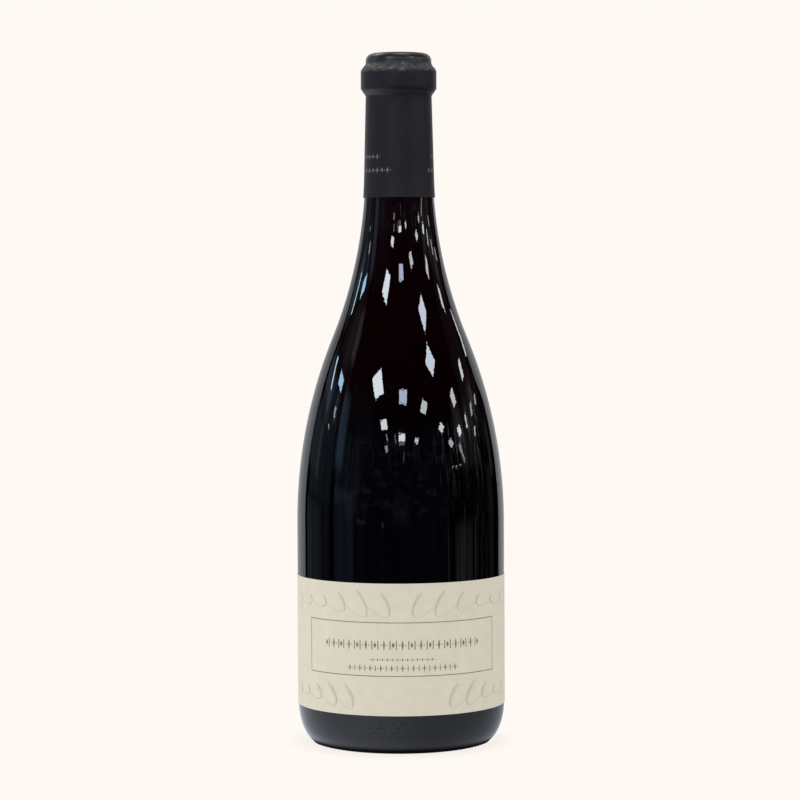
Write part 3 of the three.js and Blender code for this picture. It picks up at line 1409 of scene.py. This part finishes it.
@dataclass
class Studio:
    """The floor, the soft surroundings, the ceiling panels and the camera."""

    backdrop: Colour = (1.0, 0.947, 0.905)
    base_height: float = 0.17
    ceiling: float = 1.57
    floor_radius: float = 3.0
    floor_drop: float = 0.02
    front_light: float = 0.61
    left_light: float = 0.56
    right_light: float = 0.11
    screen_reach: float = 48.0
    screen_edge: float = 46.5
    screen_tint: Colour = (0.95, 0.97, 1.04)
    screen_stops: tuple[Point, ...] = (
        (0.0, 0.34),
        (0.15, 0.47),
        (0.36, 0.56),
        (0.7, 0.60),
        (1.0, 0.61),
    )
    screen_right: Span = (6.5, 12.0, 39.0, 46.5)
    screen_fade: Span = (4.0, 14.0, 1.0, 0.87)
    veil: Span = (0.32, 0.66, 0.7, 1.2)
    below_panels: Span = (14.0, 19.0, 1.0, 0.0)
    clutter_light: Colour = (0.80, 0.82, 0.90)
    clutter_seen: Point = (0.50, 0.78)
    clutter_rise: Span = (3.0, 12.0, 0.25, 1.0)
    clutter_start: Span = (35.0, 70.0, 0.2, 1.8)
    clutter_end: Span = (104.0, 124.0, 1.0, 0.2)
    forms_light: Colour = (0.080, 0.078, 0.084)
    forms_seen: Point = (0.50, 0.66)
    forms_rise: Point = (-4.0, 1.0)
    forms_aside: Span = (45.0, 70.0, 1.0, 0.0)
    floor_gloss: Colour = (0.86, 0.92, 1.05)
    # Painted shade on the floor: a soft ring round the base for the camera, and a thin dark ring at the
    # standing ring for the gloss; the gloss also gets painted light, lighter to the front and left.
    floor_shade: Span = (0.036, 0.053, 0.90, 1.0)
    floor_contact_shade: Span = (0.0383, 0.0424, 0.02, 1.0)
    floor_front: Span = (-1.0, 0.1, 1.12, 0.98)
    floor_side: Span = (-0.5, 0.5, 1.0, 0.62)
    floor_depth: Span = (0.03, 0.12, 1.0, 0.45)
    floor_far: Point = (0.16, 0.42)
    camera_distance: float = 1.2246
    camera_height: float = 0.2018
    camera_aside: float = -0.00004
    pitch: float = 2.545
    roll: float = -0.269
    lens: float = 128.093
    panels: tuple[CeilingPanel, ...] = table(
        CeilingPanel,
        (-0.60, 0.56, 0.50, 0.36, 5.0),
        (0.11, 0.02, 0.42, 0.36, 3.6),
        (-0.965, -1.52, 0.42, 0.45, 18.5, (0.86, 0.95, 1.0)),
        (-0.96, -2.58, 0.38, 0.33, 16.4),
        (-1.10, -3.75, 0.20, 0.40, 5.5),
        (0.14, -1.93, 0.36, 0.31, 13.5, (0.65, 0.74, 1.0)),
        (0.11, -3.19, 0.42, 0.33, 17.0),
        (0.11, -3.50, 0.42, 0.24, 2.2),
        (1.205, -0.965, 0.37, 0.30, 16.4, (0.77, 0.85, 1.0)),
        (1.21, -1.94, 0.31, 0.35, 12.0),
        (1.15, -3.24, 0.27, 0.30, 13.0),
        (2.62, 0.71, 0.40, 0.30, 9.0),
        (2.60, -0.60, 0.48, 0.28, 11.0),
        (2.58, -1.97, 0.40, 0.36, 14.0),
        (2.65, 2.35, 0.32, 0.36, 4.6),
        (3.93, -1.95, 0.55, 0.33, 9.0),
        (4.00, -0.87, 0.60, 0.34, 14.0),
        (4.10, 0.10, 0.75, 0.17, 10.0),
        (4.07, 1.10, 0.60, 0.30, 4.5),
        (4.07, 2.20, 0.40, 0.30, 5.0),
        (5.50, 1.38, 0.70, 0.25, 6.0),
        (6.00, -1.30, 2.60, 0.25, 5.0, (1.0, 0.78, 0.84)),
        (6.40, -3.30, 0.25, 0.35, 6.0),
        (7.00, -2.90, 0.25, 0.30, 6.0),
        (7.30, -2.20, 0.30, 0.30, 6.0),
        (-2.64, 0.22, 0.34, 0.45, 13.0, (0.43, 0.72, 1.0)),
        (-2.95, 1.29, 0.80, 0.17, 9.0, (0.66, 0.90, 1.0)),
        (-3.70, 0.22, 0.45, 0.20, 5.0),
        (-4.80, 0.84, 0.30, 0.12, 6.0),
        (-0.91, -3.12, 0.08, 0.34, 5.0),
        (-0.34, -3.27, 0.06, 0.50, 2.6, (1.0, 0.80, 0.80)),
        (0.31, -4.50, 0.10, 1.00, 1.0),
    )
    glows: tuple[WallGlow, ...] = table(
        WallGlow,
        (-113.5, 13.5, -9.0, -2.5, (0.095, 0.112, 0.122), 2.0),
        (-92.0, 4.5, -9.0, -2.5, (0.052, 0.063, 0.090), 2.5),
        (-67.0, 11.5, -9.0, 2.0, (0.082, 0.107, 0.172), 2.5),
        (-88.0, 40.0, -60.0, -19.0, (1.35, 1.29, 1.32), 10.0),
        (-106.0, 19.0, 0.5, 18.0, (0.062, 0.088, 0.120), 3.0),
        (-121.0, 11.0, 3.6, 9.0, (0.060, 0.075, 0.088), 2.0),
        (-71.0, 7.5, 2.0, 14.0, (0.048, 0.070, 0.105), 3.0),
        (-57.0, 6.0, 0.0, 13.0, (0.050, 0.060, 0.078), 5.0),
        (-98.0, 16.0, 24.0, 46.0, (0.050, 0.055, 0.062), 6.0),
        (-111.0, 1.5, 3.0, 9.0, (0.06, 0.09, 0.10), 2.0),
        (-76.5, 2.8, 10.0, 19.0, (0.26, 0.42, 0.66), 5.5),
        (-77.0, 2.0, 1.0, 10.0, (0.045, 0.055, 0.085), 2.0),
        (-109.0, 3.5, 13.0, 17.0, (0.13, 0.18, 0.23), 3.0),
        (-93.0, 1.2, 15.0, 18.0, (0.20, 0.21, 0.24), 2.5),
        (-118.0, 9.0, 14.0, 16.0, (0.12, 0.22, 0.31), 2.0),
        (-48.0, 5.0, -10.0, 13.0, (0.014, 0.016, 0.019), 6.0),
        (-52.0, 16.0, 19.0, 25.0, (0.018, 0.026, 0.036), 4.0),
        (0.0, 50.0, -40.0, 15.0, (0.019, 0.019, 0.038), 10.0),
        (-84.5, 2.5, 29.0, 34.0, (0.38, 0.34, 0.35), 3.5),
        (-98.0, 5.0, 26.0, 31.0, (0.07, 0.08, 0.09), 4.0),
        (75.0, 10.0, -40.0, -6.0, (0.115, 0.115, 0.13), 4.0),
        (121.0, 4.0, -6.0, 2.0, (0.045, 0.045, 0.045), 2.0),
        (129.0, 2.0, 2.0, 6.0, (0.09, 0.10, 0.095), 2.0),
        (90.0, 12.0, 8.0, 15.0, (0.08, 0.08, 0.09), 4.0),
        (77.0, 5.0, 14.0, 20.0, (0.16, 0.15, 0.17), 3.0),
        (108.0, 14.0, 12.0, 26.0, (0.042, 0.038, 0.036), 5.0),
        (0.0, 7.0, -2.0, 1.5, (0.058, 0.040, 0.028), 3.0),
        (-45.0, 5.0, -3.3, -3.1, (0.16, 0.16, 0.18), 0.35),
        (-20.0, 1.1, -3.9, -3.5, (0.26, 0.28, 0.31), 0.4),
    )

    def lay_floor(self) -> None:
        """Lays a pale disc that fades into the backdrop, with a soft shade where the bottle stands."""
        object_mode()
        place = (0.0, 0.0, -self.floor_drop * MM)
        bpy.ops.mesh.primitive_circle_add(
            vertices=96, radius=self.floor_radius, fill_type="NGON", location=place
        )
        floor = name_active("studio_floor")
        apply_place(floor)
        material = bpy.data.materials.new("pale_floor")
        material.use_nodes = True
        sheet = NodeSheet(material.node_tree)
        material.node_tree.nodes.clear()
        where = sheet.add("ShaderNodeTexCoord").outputs["Object"]
        parts = sheet.add("ShaderNodeSeparateXYZ", {0: where})
        radius = sheet.add("ShaderNodeVectorMath", {0: where}, operation="LENGTH").outputs["Value"]
        path = sheet.add("ShaderNodeLightPath")
        gloss = path.outputs["Is Glossy Ray"]
        # Painted shade and light on the floor: for the camera it is dimmed in a soft ring round the
        # base; for the gloss it goes dark in a thin ring at the standing ring, is painted lighter to the
        # front and left and darker to the right, and dims for longer reflected rays.
        dim = sheet.span(radius, *self.floor_shade)
        under = sheet.span(radius, *self.floor_contact_shade)
        front = sheet.span(sheet.math("DIVIDE", parts.outputs[1], radius), *self.floor_front)
        side = sheet.span(sheet.math("DIVIDE", parts.outputs[0], radius), *self.floor_side)
        drop = sheet.math("SUBTRACT", path.outputs["Ray Length"], radius)
        bright = sheet.times(under, front, side, sheet.span(drop, *self.floor_depth))
        level = sheet.mix(gloss, dim, bright)
        colour = sheet.mix(gloss, self.backdrop, self.floor_gloss)
        light = sheet.vector("MULTIPLY", level, colour)
        glow = sheet.add("ShaderNodeEmission", {"Color": light, "Strength": 1.0})
        clear = sheet.add("ShaderNodeBsdfTransparent")
        far = sheet.times(gloss, sheet.span(radius, *self.floor_far))
        cover = sheet.add("ShaderNodeMixShader", {0: far, 1: glow.outputs[0], 2: clear.outputs[0]})
        sink = sheet.add("ShaderNodeOutputMaterial")
        sheet.tree.links.new(cover.outputs[0], sink.inputs["Surface"])
        floor.data.materials.append(material)

    def surround(self) -> None:
        """Sets the surroundings: an even backdrop, soft light, and what the gloss reflects."""
        world = bpy.data.worlds.new("studio")
        bpy.context.scene.world = world
        world.use_nodes = True
        world.cycles.sampling_method = "NONE"
        tree = world.node_tree
        tree.nodes.clear()
        sheet = NodeSheet(tree)
        direction = sheet.add("ShaderNodeTexCoord").outputs["Generated"]
        parts = sheet.add("ShaderNodeSeparateXYZ", {0: direction})
        across, along, up = parts.outputs
        ahead = sheet.times(along, -1.0)
        azimuth = sheet.math("DEGREES", sheet.math("ARCTAN2", across, ahead))
        behind = sheet.math("SUBTRACT", 180.0, sheet.math("ABSOLUTE", azimuth))
        elevation = sheet.math("DEGREES", sheet.math("ARCSINE", up))

        reach = sheet.math("DIVIDE", behind, self.screen_reach)
        screen = sheet.add("ShaderNodeValToRGB", {0: reach})
        self.set_ramp(screen.color_ramp)
        right_edge = sheet.span(elevation, *self.screen_right)
        to_right = sheet.math("GREATER_THAN", across, 0.0)
        edge = sheet.mix(to_right, (self.screen_edge,) * 3, right_edge)
        within = sheet.math("LESS_THAN", behind, edge)
        lit = sheet.times(within, sheet.span(elevation, *self.screen_fade))
        gloss = sheet.mix(lit, BLACK, screen.outputs[0])

        seen = sheet.add("ShaderNodeCombineXYZ", {0: azimuth, 1: elevation}).outputs[0]
        streaks = sheet.noise(seen, 1.0, 4.0, 0.65, stretch=(0.16, 0.035, 1.0))
        veil = sheet.span(streaks, *self.veil)
        for glow in self.glows:
            gloss = self.add_glow(sheet, gloss, glow, azimuth, elevation, veil)

        below_panels = sheet.span(elevation, *self.below_panels)
        specks = sheet.noise(seen, 1.0, 3.0, 0.6, stretch=(0.576, 0.105, 1.0))
        clutter = sheet.times(
            sheet.span(specks, *self.clutter_seen),
            sheet.span(elevation, *self.clutter_rise),
            below_panels,
            sheet.span(azimuth, *self.clutter_start),
            sheet.span(azimuth, *self.clutter_end),
        )
        forms = sheet.noise(seen, 1.0, 3.0, 0.6, stretch=(0.060, 0.42, 1.0))
        shapes = sheet.times(
            sheet.span(forms, *self.forms_seen),
            sheet.span(elevation, *self.forms_rise),
            below_panels,
            sheet.span(sheet.math("ABSOLUTE", azimuth), *self.forms_aside),
        )
        for share, colour in ((clutter, self.clutter_light), (shapes, self.forms_light)):
            gloss = sheet.vector("ADD", gloss, sheet.mix(share, BLACK, colour))

        left = sheet.math("MAXIMUM", sheet.times(across, -1.0), 0.0)
        right = sheet.math("MAXIMUM", across, 0.0)
        soft = sheet.math("MULTIPLY_ADD", right, self.right_light, self.front_light)
        soft = sheet.math("MULTIPLY_ADD", left, self.left_light, soft)
        path = sheet.add("ShaderNodeLightPath")
        bounced = sheet.mix(path.outputs["Is Glossy Ray"], soft, gloss)
        final = sheet.mix(path.outputs["Is Camera Ray"], bounced, self.backdrop)
        glow = sheet.add("ShaderNodeBackground", {"Color": final, "Strength": 1.0})
        sink = sheet.add("ShaderNodeOutputWorld")
        tree.links.new(glow.outputs[0], sink.inputs["Surface"])

    @staticmethod
    def add_glow(
        sheet: NodeSheet,
        under: bpy.types.NodeSocket,
        glow: WallGlow,
        azimuth: bpy.types.NodeSocket,
        elevation: bpy.types.NodeSocket,
        veil: bpy.types.NodeSocket,
    ) -> bpy.types.NodeSocket:
        """Adds one soft glow on the walls to what the gloss reflects.

        Args:
            sheet: The world's nodes.
            under: The light so far.
            glow: The glow.
            azimuth: Direction from the front, in degrees.
            elevation: Direction above the horizon, in degrees.
            veil: Uneven factor that breaks it up.

        Returns:
            The light with the glow.
        """
        soft = glow.softness
        aside = sheet.math("ABSOLUTE", sheet.math("SUBTRACT", azimuth, glow.azimuth))
        across = sheet.span(aside, glow.half_width, glow.half_width + soft, 1.0, 0.0)
        above = sheet.span(elevation, glow.lowest - soft, glow.lowest)
        below = sheet.span(elevation, glow.highest, glow.highest + soft, 1.0, 0.0)
        light = sheet.vector("MULTIPLY", glow.light, sheet.times(across, above, below, veil))
        return sheet.vector("ADD", under, light)

    def set_ramp(self, ramp: bpy.types.ColorRamp) -> None:
        """Gives a colour ramp the lit screen's stops.

        Args:
            ramp: The ramp, which comes with a stop at each end.
        """
        ramp.elements.remove(ramp.elements[-1])
        for number, (place, level) in enumerate(self.screen_stops):
            stop = ramp.elements.new(place) if number else ramp.elements[0]
            stop.position = place
            stop.color = (*[level * share for share in self.screen_tint], 1.0)

    def hang_panels(self) -> None:
        """Hangs the ceiling panels that the glass and the lacquer reflect."""
        unit = self.ceiling
        for number, panel in enumerate(self.panels):
            light = bpy.data.lights.new(f"panel_{number}", "AREA")
            light.shape = "RECTANGLE"
            light.size = panel.width * unit
            light.size_y = panel.depth * unit
            light.color = panel.tint
            light.energy = math.pi * panel.strength * light.size * light.size_y
            lamp = bpy.data.objects.new(light.name, light)
            lamp.location = (panel.across * unit, panel.along * unit, self.base_height + unit)
            lamp.visible_camera = False
            lamp.visible_diffuse = False
            bpy.context.scene.collection.objects.link(lamp)

    def place_camera(self) -> None:
        """Places the camera at the picture's viewing angle."""
        lens = bpy.data.cameras.new("studio_camera")
        lens.lens = self.lens
        lens.sensor_width = 36.0
        lens.clip_start = 0.05
        camera = bpy.data.objects.new("studio_camera", lens)
        bpy.context.scene.collection.objects.link(camera)
        upright = Matrix.Rotation(math.radians(90.0 - self.pitch), 4, "X")
        tipped = Matrix.Rotation(math.radians(self.roll), 4, "Z")
        place = Matrix.Translation((self.camera_aside, -self.camera_distance, self.camera_height))
        camera.matrix_world = place @ upright @ tipped
        bpy.context.scene.camera = camera

    def build(self) -> None:
        """Sets up the whole studio."""
        self.place_camera()
        self.lay_floor()
        self.surround()
        self.hang_panels()
        view = bpy.context.scene.view_settings
        view.view_transform = "Standard"
        view.look = "None"
        LOG.info("studio: %d ceiling panels", len(self.panels))


def corners(box: tuple[Vector, Vector]) -> list[list[float]]:
    """Gives a box's lowest and highest corner as plain lists."""
    return [list(corner) for corner in box]


def main() -> None:
    """Builds the studio and the bottle's sub-assemblies in order."""
    logging.basicConfig(level=logging.INFO, format="%(name)s %(message)s")
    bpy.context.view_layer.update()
    form = BottleForm()
    Studio().build()
    GlassBottle(form).build()
    Capsule(form).build()
    FrontLabel().build()
    object_mode()


if __name__ == "__main__":
    main()
